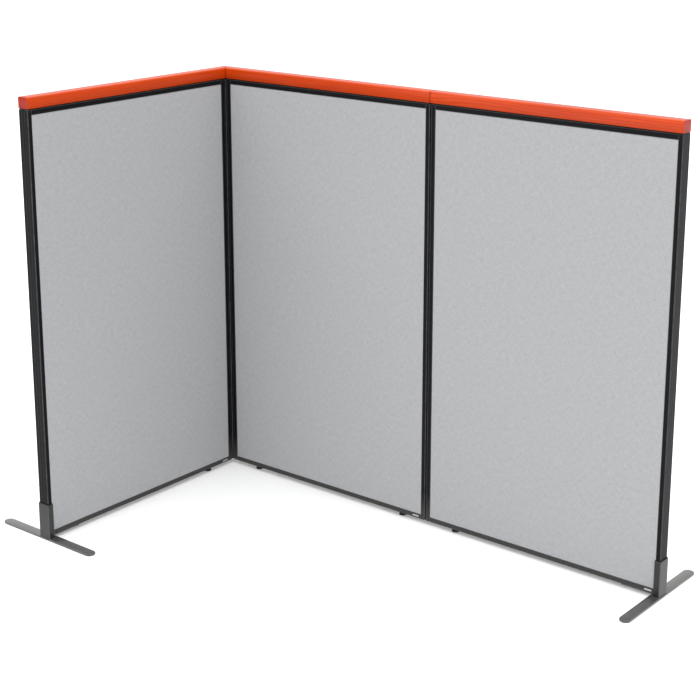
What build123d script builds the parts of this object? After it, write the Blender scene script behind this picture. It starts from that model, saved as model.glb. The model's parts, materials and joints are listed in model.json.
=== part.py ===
from build123d import *
import os

# Free-standing corner partition: a return panel, a middle panel and an end panel.
# Each panel is drawn in its own axes (X along it, Y from front face to back, Z up
# from the floor) and then carried to its place. All sizes are in millimetres.

# ---- overall sizes ----
panel_width = 920.75          # one frame, edge to edge
cloth_height = 1453.8         # cloth seen between the two rails
thickness = 44.45             # frame, post and wood cap, front to back
floor_gap = 15.9              # floor to the underside of the frames
joint_gap = 6.35              # gap between two frames, or a frame and the post

# ---- frame ----
stile_face = 16.5             # width of a stile seen from the front
rail_face = 16.5              # height of a rail seen from the front
frame_wall = 2.0              # wall of the hollow stiles and rails
edge_round = 2.0              # rounded outer edges of stiles and post
slot_width = 12.0             # slot down the outer side of each stile
slot_depth = 8.0
strip_depth = 4.5             # how far a strip reaches into a slot
gap_recess = 5.0              # how far the joint filler sits behind the faces
fin_thickness = 3.0           # fin that the boards bed against
fin_depth = 12.0
fit = 0.2                     # clearance between two pieces that seat together
close_fit = 0.1               # clearance where one piece bears on another

# ---- boards and cloth ----
cloth_thickness = 1.2
cloth_recess = 0.8            # cloth face behind the frame face
cloth_return = 10.0           # how far the cloth turns in round the board's edge

# ---- wood cap and its rail ----
reveal = 4.0                  # dark step between frame and cap
reveal_inset = 4.0
cap_height = 38.1
cap_round = 4.0
cap_seam = 2.0                # gap between two neighbouring caps
cap_end_stop = 14.0           # solid wood left at each end of the groove
groove_width = 12.0
groove_depth = 8.0
cap_screw_radius = 1.75
cap_screw_head_radius = 3.4
cap_screw_head_height = 1.8
cap_screw_bite = 15.0         # length of screw in the wood above the groove
cap_screw_clearance = 0.15

# ---- corner brackets and frame screws ----
bracket_length = 50.0
frame_screw_radius = 2.5
frame_screw_head_radius = 4.2
frame_screw_head_height = 2.8
frame_screw_reach = 30.0
frame_screw_clearance = 0.15

# ---- levelling glides ----
glide_inset = 113.0           # glide centre from the end of a frame
glide_pad_radius = 13.0
glide_pad_height = 8.0
glide_pad_socket = 3.0        # depth of the socket that holds the stud
glide_stud_radius = 4.0
glide_stud_bore_clearance = 0.1
glide_hex_across = 13.0
nut_neck_radius = 7.0
nut_body_radius = 9.0
nut_body_height = 6.0

# ---- feet ----
foot_length = 457.2
foot_width = 38.1
foot_thickness = 6.35
foot_edge_round = 1.2
foot_overhang = 5.0           # foot edge beyond the end of the frame
sleeve_height = 130.0         # top of the sleeve above the floor
sleeve_wall = 3.0
sleeve_flange = 19.0          # how far the sleeve laps onto the frame's faces
sleeve_clearance = 0.3
tongue_length = 140.0
tongue_width = 30.0
tongue_thickness = 6.25
foot_screw_inset = 10.0       # first screw from the end of the frame
foot_screw_radius = 4.0
foot_screw_head_radius = 7.5
foot_screw_head_height = 3.5
foot_screw_recess = 0.3       # head's flat above the foot's underside
foot_screw_tip_gap = 0.5      # screw tip below the top of the tongue
foot_screw_clearance = 0.15

# ---- blank plate ----
plate_length = 28.0
plate_height = 7.0
plate_thickness = 0.8
plate_inset = 38.8            # plate centre from the right end of a frame
plate_bond = 0.05

# ---- heights and lengths that follow ----
rail_top = floor_gap + rail_face
opening_top = rail_top + cloth_height
frame_top = opening_top + rail_face
frame_height = frame_top - floor_gap
cap_base = frame_top + reveal
middle_y = thickness / 2
rail_start = stile_face + fit
rail_end = panel_width - stile_face - fit
tongue_top = floor_gap - close_fit
tongue_base = tongue_top - tongue_thickness
foot_screw_length = tongue_top - foot_screw_tip_gap - foot_screw_recess
run_end = 2 * (joint_gap + panel_width)
return_end = joint_gap + panel_width
foot_centre = foot_width / 2 - foot_overhang
low_x = -middle_y - foot_length / 2
high_x = run_end + foot_overhang
low_y = -return_end - foot_overhang
high_y = middle_y + foot_length / 2
to_origin = Pos(-(low_x + high_x) / 2, -(low_y + high_y) / 2, 0)


def block(x0, x1, y0, y1, z0, z1):
    """A box given by its two corners."""
    centre = Pos((x0 + x1) / 2, (y0 + y1) / 2, (z0 + z1) / 2)
    return centre * Box(x1 - x0, y1 - y0, z1 - z0)


def rod(x, y, z0, z1, radius):
    """An upright cylinder from z0 to z1."""
    return Pos(x, y, (z0 + z1) / 2) * Cylinder(radius, z1 - z0)


def level_rod(x0, x1, y, z, radius):
    """A cylinder that lies along X from x0 to x1."""
    return Pos((x0 + x1) / 2, y, z) * Rot(0, 90, 0) * Cylinder(radius, x1 - x0)


def at_far_end(piece):
    """The same piece at the other end of a panel."""
    return Pos(panel_width, thickness, 0) * Rot(0, 0, 180) * piece


def at_back(piece):
    """The same piece seen from the back face of a panel."""
    return mirror(piece, about=Plane.XZ.offset(-middle_y))


def at_top(piece):
    """The same piece at the top of a frame."""
    centre_height = floor_gap + frame_height / 2
    return mirror(piece, about=Plane.XY.offset(centre_height))


def group(pieces):
    """Several equal, separate solids in one node."""
    return Compound(children=[piece.solid() for piece in pieces])


def stile():
    """Slotted hollow stile at a panel's left end, with the fin the boards bed against."""
    section = Pos(stile_face / 2, middle_y) * Rectangle(stile_face, thickness)
    outer_corners = section.vertices().sort_by(Axis.X)[0:2]
    section = fillet(outer_corners, edge_round)
    section -= Pos(slot_depth / 2, middle_y) * Rectangle(slot_depth, slot_width)
    hollow_depth = middle_y - slot_width / 2 - 2 * frame_wall
    hollow_width = stile_face - 2 * frame_wall
    hollow_middle = frame_wall + hollow_depth / 2
    for y in (hollow_middle, thickness - hollow_middle):
        section -= Pos(stile_face / 2, y) * Rectangle(hollow_width, hollow_depth)
    body = Pos(0, 0, floor_gap) * extrude(section, frame_height)
    fin_low = rail_top + fin_depth + fit
    fin_high = opening_top - fin_depth - fit
    fin_front = middle_y - fin_thickness / 2
    fin_back = middle_y + fin_thickness / 2
    body += block(stile_face - 0.5, stile_face + fin_depth, fin_front, fin_back, fin_low, fin_high)
    for z in (floor_gap + rail_face / 2, frame_top - rail_face / 2):
        radius = frame_screw_radius + frame_screw_clearance
        body -= level_rod(0, stile_face + 1, middle_y, z, radius)
    return body


def rail():
    """Hollow bottom rail with the fin on its upper side."""
    body = block(rail_start, rail_end, 0, thickness, floor_gap, rail_top)
    inner_low = floor_gap + frame_wall
    inner_high = rail_top - frame_wall
    body -= block(0, panel_width, frame_wall, thickness - frame_wall, inner_low, inner_high)
    fin_front = middle_y - fin_thickness / 2
    fin_back = middle_y + fin_thickness / 2
    body += block(rail_start, rail_end, fin_front, fin_back, rail_top - 0.5, rail_top + fin_depth)
    return body


def bottom_rail():
    """The rail with its two nut holes."""
    body = rail()
    for x in (glide_inset, panel_width - glide_inset):
        body -= rod(x, middle_y, floor_gap - 1, floor_gap + frame_wall + 1, nut_neck_radius + fit)
    return body


def top_rail():
    """The same rail turned over."""
    return at_top(rail())


def board():
    """Tackable board behind the front cloth."""
    edge = fit + cloth_thickness + fit
    front = cloth_recess + cloth_thickness + fit
    back = middle_y - fin_thickness / 2 - fit
    x0 = stile_face + edge
    return block(x0, panel_width - x0, front, back, rail_top + edge, opening_top - edge)


def cloth():
    """Front cloth: a face with its four edges turned in round the board."""
    x0 = stile_face + fit
    z0 = rail_top + fit
    z1 = opening_top - fit
    back = cloth_recess + cloth_thickness + cloth_return
    skin = block(x0, panel_width - x0, cloth_recess, back, z0, z1)
    inner_x = x0 + cloth_thickness
    inner_front = cloth_recess + cloth_thickness
    inner_low = z0 + cloth_thickness
    inner_high = z1 - cloth_thickness
    skin -= block(inner_x, panel_width - inner_x, inner_front, back + 1, inner_low, inner_high)
    return skin


def cap_rail_base(x0, x1):
    """Flat strip on the frame that leaves the dark reveal."""
    z0 = frame_top + close_fit
    z1 = cap_base - close_fit
    return block(x0, x1, reveal_inset, thickness - reveal_inset, z0, z1)


def cap_rail_tongue(x0, x1):
    """Upstand that enters the groove of the cap from x0 to x1."""
    y0 = middle_y - groove_width / 2 + fit
    y1 = middle_y + groove_width / 2 - fit
    z0 = frame_top + reveal / 2
    z1 = cap_base + groove_depth - fit
    return block(x0 + cap_end_stop + fit, x1 - cap_end_stop - fit, y0, y1, z0, z1)


def cap_screw(x):
    """Wood screw up through a cap rail into the cap."""
    z0 = frame_top + close_fit + fit
    neck = z0 + cap_screw_head_height
    tip = cap_base + groove_depth + cap_screw_bite
    head = rod(x, middle_y, z0, neck, cap_screw_head_radius)
    return head + rod(x, middle_y, neck - 0.5, tip, cap_screw_radius)


def cap_screw_hole(x):
    """Room for one cap screw in the cap rail."""
    counterbore_top = frame_top + close_fit + fit + cap_screw_head_height + fit
    radius = cap_screw_head_radius + fit
    room = rod(x, middle_y, frame_top - 1, counterbore_top, radius)
    shank = cap_screw_radius + cap_screw_clearance
    return room + rod(x, middle_y, frame_top, cap_base + groove_depth + 1, shank)


def wood_cap(x0, x1, screw_places):
    """Wood cap from x0 to x1, round on its long top edges and grooved underneath."""
    body = block(x0, x1, 0, thickness, cap_base, cap_base + cap_height)
    long_edges = body.edges().filter_by(Axis.X).group_by(Axis.Z)[-1]
    body = fillet(long_edges, cap_round)
    g0 = middle_y - groove_width / 2
    g1 = middle_y + groove_width / 2
    groove_top = cap_base + groove_depth
    body -= block(x0 + cap_end_stop, x1 - cap_end_stop, g0, g1, cap_base - 1, groove_top)
    radius = cap_screw_radius + cap_screw_clearance
    for x in screw_places:
        body -= rod(x, middle_y, groove_top - 1, groove_top + cap_screw_bite + fit, radius)
    return body


def bracket():
    """Block inside a rail's left end that the frame screw pulls up against the stile."""
    x0 = rail_start + fit
    y0 = frame_wall + fit
    z0 = floor_gap + frame_wall + fit
    z1 = rail_top - frame_wall - fit
    body = block(x0, x0 + bracket_length, y0, thickness - y0, z0, z1)
    radius = frame_screw_radius + frame_screw_clearance
    body -= level_rod(0, x0 + bracket_length + 1, middle_y, (z0 + z1) / 2, radius)
    return body


def frame_screw():
    """Screw from the slot of the left stile into the bracket of the bottom rail."""
    z = floor_gap + rail_face / 2
    seat = slot_depth - close_fit
    head = level_rod(seat - frame_screw_head_height, seat, middle_y, z, frame_screw_head_radius)
    return head + level_rod(seat - 0.5, seat + frame_screw_reach, middle_y, z, frame_screw_radius)


def glide_nut(x):
    """Threaded insert in the bottom rail, with its neck flush with the underside."""
    shoulder = floor_gap + frame_wall + fit
    body = rod(x, middle_y, floor_gap, shoulder + 0.5, nut_neck_radius)
    body += rod(x, middle_y, shoulder, shoulder + nut_body_height, nut_body_radius)
    bore = glide_stud_radius + glide_stud_bore_clearance
    return body - rod(x, middle_y, floor_gap - 1, shoulder + nut_body_height + 1, bore)


def glide_stud(x):
    """Threaded stud with a hex collar, screwed fully in."""
    low = glide_pad_height - glide_pad_socket + fit
    high = rail_top - frame_wall - 0.5
    body = rod(x, middle_y, low, high, glide_stud_radius)
    collar_low = glide_pad_height + close_fit
    collar_high = floor_gap - close_fit
    collar = extrude(RegularPolygon(glide_hex_across / 2, 6, major_radius=False), collar_high - collar_low)
    return body + Pos(x, middle_y, collar_low) * collar


def glide_pad(x):
    """Round pad that stands on the floor, with a socket for the stud."""
    body = rod(x, middle_y, 0, glide_pad_height, glide_pad_radius)
    rim = body.edges().filter_by(GeomType.CIRCLE).sort_by(Axis.Z)[-1]
    body = fillet(rim, 1.5)
    socket = glide_stud_radius + fit
    return body - rod(x, middle_y, glide_pad_height - glide_pad_socket, glide_pad_height + 1, socket)


def joint_strip():
    """Strip that joins two slots across a gap that runs from x = 0 to joint_gap."""
    half_slot = slot_width / 2 - fit
    key_front = middle_y - half_slot
    key_back = middle_y + half_slot
    body = block(-strip_depth, joint_gap + strip_depth, key_front, key_back, floor_gap, frame_top)
    filler_front = gap_recess
    filler_back = thickness - gap_recess
    body += block(fit, joint_gap - fit, filler_front, filler_back, floor_gap, frame_top)
    return body


def end_strip():
    """Strip that closes the slot of a left stile at a free end."""
    half_slot = slot_width / 2 - fit
    return block(0, strip_depth, middle_y - half_slot, middle_y + half_slot, floor_gap, frame_top)


def corner_post():
    """Square post with a slot towards each of its two panels."""
    section = Pos(-middle_y, middle_y) * Rectangle(thickness, thickness)
    section = fillet(section.vertices(), edge_round)
    section -= Pos(-slot_depth / 2, middle_y) * Rectangle(slot_depth, slot_width)
    section -= Pos(-middle_y, slot_depth / 2) * Rectangle(slot_width, slot_depth)
    hollow = thickness - 2 * (slot_depth + frame_wall)
    section -= Pos(-middle_y, middle_y) * Rectangle(hollow, hollow)
    return Pos(0, 0, floor_gap) * extrude(section, frame_height)


def corner_cap():
    """Wood block over the post, round on its two outer top edges."""
    body = block(-thickness, -cap_seam / 2, 0, thickness, cap_base, cap_base + cap_height)
    top_edges = body.faces().sort_by(Axis.Z)[-1].edges()
    outer = [top_edges.sort_by(Axis.X)[0], top_edges.sort_by(Axis.Y)[-1]]
    body = fillet(outer, cap_round)
    g0 = middle_y - groove_width / 2
    g1 = middle_y + groove_width / 2
    groove_top = cap_base + groove_depth
    body -= block(-thickness + cap_end_stop, -cap_end_stop, g0, g1, cap_base - 1, groove_top)
    radius = cap_screw_radius + cap_screw_clearance
    top = groove_top + cap_screw_bite + fit
    return body - rod(-middle_y, middle_y, groove_top - 1, top, radius)


# A foot is drawn for a free end at x = 0 with the panel on the side of plus X.

def foot_screw_places():
    """Distance from the frame's end, and height of the head's flat, of the two screws."""
    return ((foot_screw_inset, foot_screw_recess), (glide_inset, tongue_base + foot_screw_clearance))


def foot_screw(x, z):
    """Flat-headed screw put in from below."""
    neck = z + foot_screw_head_height
    height = foot_screw_head_height
    cone = Pos(x, middle_y, z + height / 2) * Cone(foot_screw_head_radius, foot_screw_radius, height)
    return cone + rod(x, middle_y, neck - 0.5, z + foot_screw_length, foot_screw_radius)


def foot_screw_room(x, z, top):
    """Room for a flat-headed screw, up to a given height."""
    radius = foot_screw_radius + foot_screw_clearance
    head_radius = foot_screw_head_radius + foot_screw_clearance
    height = foot_screw_head_height
    cone = Pos(x, middle_y, z + height / 2) * Cone(head_radius, radius, height)
    below = rod(x, middle_y, z - 2, z, head_radius)
    return cone + below + rod(x, middle_y, z, top, radius)


def foot_bar():
    """Flat bar with round ends, set across the panel on the floor."""
    outline = Pos(foot_centre, middle_y) * Rot(0, 0, 90) * SlotOverall(foot_length, foot_width)
    body = extrude(outline, foot_thickness)
    body = fillet(body.faces().sort_by(Axis.Z)[-1].edges(), foot_edge_round)
    place = foot_screw_places()[0]
    return body - foot_screw_room(place[0], place[1], foot_thickness + 1)


def foot_sleeve():
    """Sleeve that holds the panel's end, with a floor plate on the foot bar."""
    inner = sleeve_clearance
    outer = sleeve_clearance + sleeve_wall
    z0 = foot_thickness + close_fit
    z1 = tongue_base - close_fit
    body = block(-outer, sleeve_flange, -outer, thickness + outer, z0, sleeve_height)
    corner_edges = body.edges().filter_by(Axis.Z).group_by(Axis.X)[0]
    body = fillet(corner_edges, edge_round)
    body -= block(-inner, sleeve_flange + 1, -inner, thickness + inner, z1, sleeve_height + 1)
    place = foot_screw_places()[0]
    radius = foot_screw_radius + foot_screw_clearance
    return body - rod(place[0], middle_y, 0, z1 + 1, radius)


def foot_tongue():
    """Flat tongue under the bottom rail, held by a screw into the nut."""
    y0 = middle_y - tongue_width / 2
    y1 = middle_y + tongue_width / 2
    body = block(0, tongue_length, y0, y1, tongue_base, tongue_top)
    first, second = foot_screw_places()
    radius = foot_screw_radius + foot_screw_clearance
    body -= rod(first[0], middle_y, tongue_base - 1, tongue_top + 1, radius)
    return body - foot_screw_room(second[0], second[1], tongue_top + 1)


def plate():
    """Blank plate on the front of the bottom rail."""
    x = panel_width - plate_inset
    z = floor_gap + rail_face / 2
    y0 = -plate_bond - plate_thickness
    half = plate_length / 2
    return block(x - half, x + half, y0, -plate_bond, z - plate_height / 2, z + plate_height / 2)


# ---- build the nodes ----
middle_place = to_origin * Pos(joint_gap, 0, 0)
end_place = to_origin * Pos(2 * joint_gap + panel_width, 0, 0)
return_place = to_origin * Pos(0, -return_end, 0) * Rot(0, 0, 90)
panel_places = {"return_panel": return_place, "middle_panel": middle_place, "end_panel": end_place}

# Each cap runs on over the gap beside it, as far as the next cap.
cap_spans = {
    "return_panel": (0, panel_width + joint_gap - cap_seam / 2),
    "middle_panel": (-joint_gap + cap_seam / 2, panel_width - cap_seam / 2),
    "end_panel": (-joint_gap + cap_seam / 2, panel_width),
}
screw_places = [panel_width * part for part in (1 / 6, 1 / 2, 5 / 6)]

nodes = {}
brackets = []
frame_screws = []
cap_screws = []
glide_nuts = []
foot_screws = []

for name, place in panel_places.items():
    nodes[name + "_left_stile"] = place * stile()
    nodes[name + "_right_stile"] = place * at_far_end(stile())
    nodes[name + "_bottom_rail"] = place * bottom_rail()
    nodes[name + "_top_rail"] = place * top_rail()
    nodes[name + "_front_board"] = place * board()
    nodes[name + "_back_board"] = place * at_back(board())
    nodes[name + "_front_cloth"] = place * cloth()
    nodes[name + "_back_cloth"] = place * at_back(cloth())
    nodes[name + "_nameplate"] = place * plate()

    start, stop = cap_spans[name]
    nodes[name + "_wood_cap"] = place * wood_cap(start, stop, screw_places)
    base_start = 1
    if name == "middle_panel":
        base_start = -joint_gap - thickness + reveal_inset
    rail_part = cap_rail_base(base_start, panel_width - 1)
    rail_part += cap_rail_tongue(start, stop)
    places = list(screw_places)
    if name == "middle_panel":
        rail_part += cap_rail_tongue(-joint_gap - thickness, -joint_gap)
        places.append(-joint_gap - middle_y)
    for x in places:
        rail_part -= cap_screw_hole(x)
        cap_screws.append(place * cap_screw(x))
    nodes[name + "_cap_rail"] = place * rail_part

    for piece, store in ((bracket(), brackets), (frame_screw(), frame_screws)):
        for one in (piece, at_far_end(piece)):
            store.append(place * one)
            store.append(place * at_top(one))
    for x in (glide_inset, panel_width - glide_inset):
        glide_nuts.append(place * glide_nut(x))

nodes["corner_brackets"] = group(brackets)
nodes["frame_screws"] = group(frame_screws)
nodes["cap_screws"] = group(cap_screws)
nodes["glide_nuts"] = group(glide_nuts)

nodes["corner_post"] = to_origin * corner_post()
nodes["corner_cap"] = to_origin * corner_cap()
nodes["corner_strip_middle"] = to_origin * joint_strip()
corner_turn = Pos(0, -joint_gap, 0) * Rot(0, 0, 90)
nodes["corner_strip_return"] = to_origin * corner_turn * joint_strip()
nodes["straight_strip"] = to_origin * Pos(joint_gap + panel_width, 0, 0) * joint_strip()
nodes["return_end_strip"] = return_place * end_strip()
nodes["far_end_strip"] = end_place * at_far_end(end_strip())

# One foot at the return panel's free end, one at the end panel's free end.
far_turn = Pos(panel_width, thickness, 0) * Rot(0, 0, 180)
for name, place in {"return_foot": return_place, "far_foot": end_place * far_turn}.items():
    nodes[name + "_bar"] = place * foot_bar()
    nodes[name + "_sleeve"] = place * foot_sleeve()
    nodes[name + "_tongue"] = place * foot_tongue()
    for x, z in foot_screw_places():
        foot_screws.append(place * foot_screw(x, z))
nodes["foot_screws"] = group(foot_screws)

# Glides stand where a panel has no foot.
glide_places = [
    (return_place, panel_width - glide_inset),
    (middle_place, glide_inset),
    (middle_place, panel_width - glide_inset),
    (end_place, glide_inset),
]
for number, (place, x) in enumerate(glide_places, start=1):
    nodes[f"glide_stud_{number}"] = place * glide_stud(x)
    nodes[f"glide_pad_{number}"] = place * glide_pad(x)

os.makedirs("parts", exist_ok=True)
for name, shape in nodes.items():
    export_step(shape, f"parts/{name}.step")
print(len(nodes), "nodes written")
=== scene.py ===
# %% [markdown]
# # A free-standing corner partition wall
# Three cloth-covered panels stand in charcoal frames under cherry-stained wood caps. The packed
# CAD model gives every place and size. This lesson dresses it: pieces that need a soft edge, a
# rounded section or a woven skin are made again with numpy, and the rest keep their CAD mesh and
# only get a better finish.

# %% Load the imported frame
import json
import math

import bmesh
import bpy
import numpy as np
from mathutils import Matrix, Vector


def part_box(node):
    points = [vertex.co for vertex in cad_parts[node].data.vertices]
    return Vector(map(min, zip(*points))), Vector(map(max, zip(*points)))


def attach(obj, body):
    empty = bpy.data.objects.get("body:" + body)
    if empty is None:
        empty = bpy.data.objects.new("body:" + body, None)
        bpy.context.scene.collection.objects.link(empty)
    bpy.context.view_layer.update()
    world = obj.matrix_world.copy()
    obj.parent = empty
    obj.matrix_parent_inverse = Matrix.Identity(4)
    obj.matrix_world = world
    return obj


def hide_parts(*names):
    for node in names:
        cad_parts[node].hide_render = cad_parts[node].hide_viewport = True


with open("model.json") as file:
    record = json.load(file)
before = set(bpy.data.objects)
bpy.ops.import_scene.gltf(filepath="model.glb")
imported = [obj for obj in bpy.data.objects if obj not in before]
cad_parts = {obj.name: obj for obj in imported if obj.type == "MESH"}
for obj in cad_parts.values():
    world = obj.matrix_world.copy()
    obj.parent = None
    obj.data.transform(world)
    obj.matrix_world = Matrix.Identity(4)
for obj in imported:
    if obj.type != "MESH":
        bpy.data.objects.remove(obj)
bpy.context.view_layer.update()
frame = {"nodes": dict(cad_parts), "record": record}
BODY = "wall"
PANELS = ("return_panel", "middle_panel", "end_panel")
MM = 0.001


# %% [markdown]
# ## Shared sizes
# The places and lengths of the pieces are read from the frame, so they follow the CAD if it is packed
# again.
# The small radii, which the CAD leaves sharp because they carry no load, and the slot and face sizes are
# given.

# %% Read the sizes that repeat
def box_of(node):
    """Low and high corners of a CAD node's box, as arrays in metres."""
    low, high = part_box(node)
    return np.array(low), np.array(high)


post_low, post_high = box_of("corner_post")
FRAME_LOW = post_low[2]
FRAME_HIGH = post_high[2]
STILE_ROUND = 2.0 * MM
SLOT_WIDTH = 12.0 * MM
SLOT_DEPTH = 8.0 * MM
SMALL_ROUND = 0.7 * MM
FRAME_FACE = 16.5 * MM
CAP_ROUND = 4.0 * MM
print("thickness", round(post_high[0] - post_low[0], 5))
print("frame from", round(FRAME_LOW, 4), "to", round(FRAME_HIGH, 4))


# %% [markdown]
# ## From arrays to a mesh
# A piece is worked out as whole arrays of points and faces. One helper turns them into an object
# at the origin, unturned and unscaled, closes its seams, points its faces outwards and rides it
# on its CAD body. A float called `edge` says how near a point is to a rounded edge, so a finish
# can wear there and carry a painted highlight along it.

# %% The mesh helper
SHARP_FROM = math.radians(32)
MERGE_WITHIN = 0.001 * MM


def shade_smooth(mesh):
    """Smooth shading that stays crisp where two faces meet at more than the sharp angle."""
    mesh.polygons.foreach_set("use_smooth", np.ones(len(mesh.polygons), bool))
    mesh.set_sharp_from_angle(angle=SHARP_FROM)


def make_piece(name, points, faces, material, body=BODY, extra=None, uv=None, close=True):
    """Object with the given points (n by 3, metres) and quads (m by 4)."""
    mesh = bpy.data.meshes.new(name)
    mesh.from_pydata(points.tolist(), [], faces.tolist())
    for label, values in (extra or {}).items():
        kind = "FLOAT" if values.ndim == 1 else "FLOAT_VECTOR"
        attribute = mesh.attributes.new(label, kind, "POINT")
        attribute.data.foreach_set("value" if values.ndim == 1 else "vector", values.ravel())
    if uv is not None:
        layer = mesh.uv_layers.new(name="cut")
        corner_points = np.empty(len(mesh.loops), int)
        mesh.loops.foreach_get("vertex_index", corner_points)
        layer.uv.foreach_set("vector", uv[corner_points].ravel())
    if close:
        work = bmesh.new()
        work.from_mesh(mesh)
        bmesh.ops.remove_doubles(work, verts=work.verts, dist=MERGE_WITHIN)
        bmesh.ops.dissolve_degenerate(work, edges=work.edges, dist=0.1 * MERGE_WITHIN)
        bmesh.ops.recalc_face_normals(work, faces=work.faces)
        work.to_mesh(mesh)
        work.free()
    shade_smooth(mesh)
    mesh.materials.append(material)
    piece = bpy.data.objects.new(name, mesh)
    bpy.context.scene.collection.objects.link(piece)
    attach(piece, body)
    return piece


def grid_quads(rows, columns):
    """Quads of a grid whose points run row by row."""
    index = np.arange(rows * columns).reshape(rows, columns)
    corners = (index[:-1, :-1], index[:-1, 1:], index[1:, 1:], index[1:, :-1])
    return np.stack([corner.ravel() for corner in corners], axis=1)


print("mesh helper ready")


# %% [markdown]
# ## Outlines with rounded corners, carried along a line
# Extrusions, flat bars and plates are all one idea: a closed outline, carried along a straight
# line, and drawn in a little near both ends so that the cut edge is soft. The outline takes a
# list of corners and a radius for each. Beside every arc it gets one more point on the flat, which
# keeps the shading of the flat true and lets the `edge` value fall to zero.

# %% Outline and prism
ARC_STEPS = 6
SHOULDER = 1.2 * MM


def outline_of(corners, radii):
    """Closed outline: at each corner an arc tangent to both sides, its centre on the bisector at
    the radius from each side. Returns the points and their edge values."""
    corners = np.array(corners, float)
    before = np.roll(corners, 1, axis=0) - corners
    after = np.roll(corners, -1, axis=0) - corners
    before /= np.linalg.norm(before, axis=1, keepdims=True)
    after /= np.linalg.norm(after, axis=1, keepdims=True)
    radii = np.array(radii, float)[:, None]
    half = np.arccos(np.clip((before * after).sum(1, keepdims=True), -1, 1)) / 2
    reach = radii / np.tan(half)
    bisector = before + after
    bisector /= np.linalg.norm(bisector, axis=1, keepdims=True)
    centre = corners + bisector * radii / np.sin(half)
    first = corners + before * reach - centre
    last = corners + after * reach - centre
    share = np.linspace(0, 1, ARC_STEPS + 1)[None, :, None]
    swing = np.pi - 2 * half[:, :, None]
    weight_a = np.sin((1 - share) * swing) / np.sin(swing)
    weight_b = np.sin(share * swing) / np.sin(swing)
    arc = centre[:, None] + weight_a * first[:, None] + weight_b * last[:, None]
    lead = (corners + before * (reach + SHOULDER))[:, None]
    tail = (corners + after * (reach + SHOULDER))[:, None]
    points = np.concatenate([lead, arc, tail], axis=1)
    edge = np.ones(points.shape[:2])
    edge[:, 0] = 0
    edge[:, -1] = 0
    return points.reshape(-1, 2), edge.ravel()


def drawn_in(outline, inset):
    """The outline moved inwards by inset along the mitre of its two sides at each point."""
    ahead = np.roll(outline, -1, axis=0) - outline
    ahead /= np.linalg.norm(ahead, axis=1, keepdims=True)
    behind = np.roll(ahead, 1, axis=0)
    normal = np.stack([-(ahead[:, 1] + behind[:, 1]), ahead[:, 0] + behind[:, 0]], axis=1)
    normal /= (1 + (ahead * behind).sum(1, keepdims=True))
    following = np.roll(outline, -1, axis=0)
    area = np.sum(outline[:, 0] * following[:, 1] - outline[:, 1] * following[:, 0])
    return outline + normal * inset * np.sign(area)


def soft_ends(low, high, low_round, high_round, steps=4):
    """Heights, insets and edge values of the rings of a prism: a quarter circle at each end."""
    turn = np.linspace(0, np.pi / 2, steps + 1)
    heights = [low + low_round * (1 - np.cos(turn)), [low + low_round + SHOULDER]]
    insets = [low_round * (1 - np.sin(turn)), [0]]
    heights += [[high - high_round - SHOULDER], high - high_round * (1 - np.cos(turn[::-1]))]
    insets += [[0], high_round * (1 - np.sin(turn[::-1]))]
    edge = np.ones(2 * steps + 4)
    edge[steps + 1:steps + 3] = 0
    return np.concatenate(heights), np.concatenate(insets), edge


def prism(name, outline, rings, axis, material):
    """Outline carried along an axis. The outline lies in the two axes that follow it in the
    order X, Y, Z, X, Y. One face closes each end."""
    shape, shape_edge = outline
    heights, insets, ring_edge = rings
    count = len(shape)
    layers = [np.column_stack([drawn_in(shape, inset), np.full(count, height)])
              for height, inset in zip(heights, insets)]
    flat = np.concatenate(layers)
    order = {"X": (2, 0, 1), "Y": (1, 2, 0), "Z": (0, 1, 2)}[axis]
    points = flat[:, order]
    index = np.arange(len(layers) * count).reshape(len(layers), count)
    ring = np.concatenate([index, index[:, :1]], axis=1)
    sides = np.stack([ring[:-1, :-1], ring[:-1, 1:], ring[1:, 1:], ring[1:, :-1]], axis=-1)
    faces = sides.reshape(-1, 4)
    edge = np.maximum(ring_edge[:, None], shape_edge[None, :]).ravel().astype(np.float32)
    piece = make_piece(name, points, faces, material, extra={"edge": edge}, close=False)
    close_ends(piece, index[0], index[-1])
    return piece


def close_ends(piece, first, last):
    """Adds one face over each open end, then points every face outwards."""
    work = bmesh.new()
    work.from_mesh(piece.data)
    work.verts.ensure_lookup_table()
    for ring in (first, last):
        work.faces.new([work.verts[i] for i in ring])
    bmesh.ops.recalc_face_normals(work, faces=work.faces)
    work.to_mesh(piece.data)
    work.free()
    shade_smooth(piece.data)


print("outline and prism helpers ready")


# %% [markdown]
# ## Node shorthands
# Shaders here are written as short lines: `add` makes a node, sets its inputs and links it. Every
# finish reads Object coordinates or an attribute of its own piece, so it stays put when the camera
# moves.

# %% Shader helpers
def add(tree, kind, inputs=None, **settings):
    """New node; inputs maps a socket's name or number to a value or to another node's socket."""
    node = tree.nodes.new(kind)
    for key, value in settings.items():
        setattr(node, key, value)
    for key, value in (inputs or {}).items():
        if isinstance(value, bpy.types.NodeSocket):
            tree.links.new(value, node.inputs[key])
        else:
            node.inputs[key].default_value = value
    return node


def ramp(tree, value, stops):
    """Colour ramp of (position, colour) stops."""
    node = add(tree, "ShaderNodeValToRGB", {"Fac": value})
    elements = node.color_ramp.elements
    while len(elements) < len(stops):
        elements.new(0.5)
    for element, (position, colour) in zip(elements, stops):
        element.position = position
        element.color = (*colour, 1)
    return node.outputs["Color"]


def maths(tree, operation, a, b=0.0, c=0.0):
    """One Math node."""
    node = add(tree, "ShaderNodeMath", {0: a, 1: b, 2: c}, operation=operation)
    return node.outputs[0]


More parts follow.
